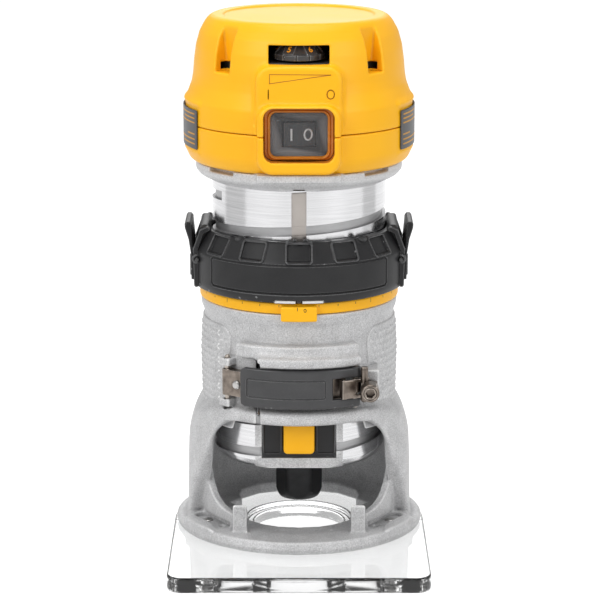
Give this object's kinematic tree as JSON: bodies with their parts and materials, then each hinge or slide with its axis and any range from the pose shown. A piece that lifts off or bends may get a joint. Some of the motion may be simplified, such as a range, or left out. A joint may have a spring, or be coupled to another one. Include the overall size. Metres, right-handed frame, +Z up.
{
  "type": "trim router",
  "caption": "Compact fixed-base trim router: clear D-shaped sub-base, cast base with lever clamp, threaded depth ring, and a cylindrical motor unit with a dial, switch and collet.",
  "frame": {"origin": "centre of the footprint's bounding box, on the work surface under the clear sub-base; the spindle's axis stands 12.6 mm behind it", "axes": "+Z up along the spindle, towards the cap; -Y towards the switch and the sub-base's straight edge; +X to the operator's right when facing the switch"},
  "size_m": [0.1016, 0.1268, 0.213],
  "materials": {
    "yellow_plastic": "fine-textured moulded yellow plastic",
    "black_plastic": "textured moulded black plastic",
    "lever_paint": "dark grey painted steel",
    "cast_aluminium": "blasted casting",
    "machined_aluminium": "turned, fine lines round the barrel",
    "steel": "ground steel",
    "nickel_plate": "dull brownish nickel plate",
    "black_oxide": "black oxide",
    "clear_polycarbonate": "clear, with machined edges",
    "clear_boot": "clear flexible boot",
    "copper": "enamelled copper",
    "carbon": "pressed carbon",
    "rating_label": "blank printed foil"
  },
  "bodies": {
    "base": {"sub_base": "clear_polycarbonate", "sub_base_screw_1": "steel", "sub_base_screw_2": "steel", "sub_base_screw_3": "steel", "sub_base_screw_4": "steel", "base_casting": "cast_aluminium", "clamp_band": "nickel_plate", "band_anchor_pin": "steel", "band_rivet": "nickel_plate", "fulcrum_pin": "steel", "trunnion_pin": "steel"},
    "scale_ring": {"scale_ring": "yellow_plastic"},
    "depth_ring": {"depth_ring": "black_plastic", "tab_pin_left": "steel", "tab_pin_right": "steel", "tab_spring_left": "steel", "tab_spring_right": "steel"},
    "release_tab_left": {"release_tab_left": "black_plastic"},
    "release_tab_right": {"release_tab_right": "black_plastic"},
    "clamp_lever": {"clamp_lever": "lever_paint"},
    "toggle_link": {"toggle_link": "nickel_plate"},
    "tension_screw": {"tension_screw": "nickel_plate"},
    "motor": {"motor_housing": "machined_aluminium", "lower_housing": "yellow_plastic", "top_cap": "yellow_plastic", "label_plate_left": "rating_label", "label_plate_right": "rating_label", "cord_bushing": "black_plastic", "switch_body": "black_plastic", "switch_boot": "clear_boot", "speed_control": "black_plastic", "lock_housing": "black_plastic", "lock_spring": "steel", "led_ring": "black_plastic", "led_lens_left": "clear_boot", "led_lens_right": "clear_boot", "end_bracket": "black_plastic", "inner_shroud": "black_plastic", "lower_bearing": "steel", "upper_bearing": "steel", "stator": "steel", "field_coil_left": "copper", "field_coil_right": "copper", "brush_holder_left": "steel", "brush_holder_right": "steel", "brush_left": "carbon", "brush_right": "carbon", "brush_spring_left": "steel", "brush_spring_right": "steel"},
    "spindle": {"armature_shaft": "steel", "armature_core": "steel", "commutator": "copper", "cooling_fan": "black_plastic", "collet": "steel", "collet_nut": "black_oxide"},
    "spindle_lock": {"spindle_lock_button": "yellow_plastic", "spindle_lock_pin": "steel"},
    "power_rocker": {"power_rocker": "black_plastic"},
    "speed_dial": {"speed_dial": "black_plastic"}
  },
  "joints": [
    {"name": "motor_slide", "type": "slide", "parent": "base", "child": "motor", "axis": [0, 0, 1], "range_m": [-0.0155, 0.012]},
    {"name": "depth_ring_turn", "type": "hinge", "parent": "base", "child": "depth_ring", "pos_m": [0, 0.0126, 0.117], "axis": [0, 0, 1], "range_deg": [-345, 445]},
    {"name": "scale_ring_turn", "type": "hinge", "parent": "base", "child": "scale_ring", "pos_m": [0, 0.0126, 0.103], "axis": [0, 0, 1], "continuous": true},
    {"name": "release_tab_left_press", "type": "hinge", "parent": "depth_ring", "child": "release_tab_left", "pos_m": [-0.0402, 0.0126, 0.1176], "axis": [0, 1, 0], "range_deg": [0, 10], "stiffness_Nm_per_rad": 0.4, "springref_deg": -11.46},
    {"name": "release_tab_right_press", "type": "hinge", "parent": "depth_ring", "child": "release_tab_right", "pos_m": [0.0402, 0.0126, 0.1176], "axis": [0, -1, 0], "range_deg": [0, 10], "stiffness_Nm_per_rad": 0.4, "springref_deg": -11.46},
    {"name": "clamp_lever_swing", "type": "hinge", "parent": "base", "child": "clamp_lever", "pos_m": [0.0219, -0.024, 0.0714], "axis": [0, 0, 1], "range_deg": [0, 55]},
    {"name": "toggle_link_swing", "type": "hinge", "parent": "base", "child": "toggle_link", "pos_m": [0.0255, -0.0261, 0.0714], "axis": [0, 0, 1], "range_deg": [0, 25]},
    {"name": "tension_screw_turn", "type": "hinge", "parent": "base", "child": "tension_screw", "pos_m": [0.0276, -0.03, 0.0714], "axis": [0, -1, 0], "continuous": true},
    {"name": "spindle_spin", "type": "hinge", "parent": "motor", "child": "spindle", "pos_m": [0, 0.0126, 0.05], "axis": [0, 0, 1], "continuous": true},
    {"name": "spindle_lock_press", "type": "slide", "parent": "motor", "child": "spindle_lock", "axis": [0, 1, 0], "range_m": [0, 0.003], "stiffness_N_per_m": 1200, "springref_m": -0.003},
    {"name": "power_rocker_tilt", "type": "hinge", "parent": "motor", "child": "power_rocker", "pos_m": [0, -0.0246, 0.1714], "axis": [0, 0, -1], "range_deg": [0, 14]},
    {"name": "speed_dial_turn", "type": "hinge", "parent": "motor", "child": "speed_dial", "pos_m": [0, -0.0166, 0.2025], "axis": [0, 0, 1], "range_deg": [-220, 60]}
  ],
  "couplings": [
    {"joint": "depth_ring_turn", "follows": "motor_slide", "rad_per_m": -494.74},
    {"joint": "toggle_link_swing", "follows": "clamp_lever_swing", "ratio": 0.33}
  ]
}
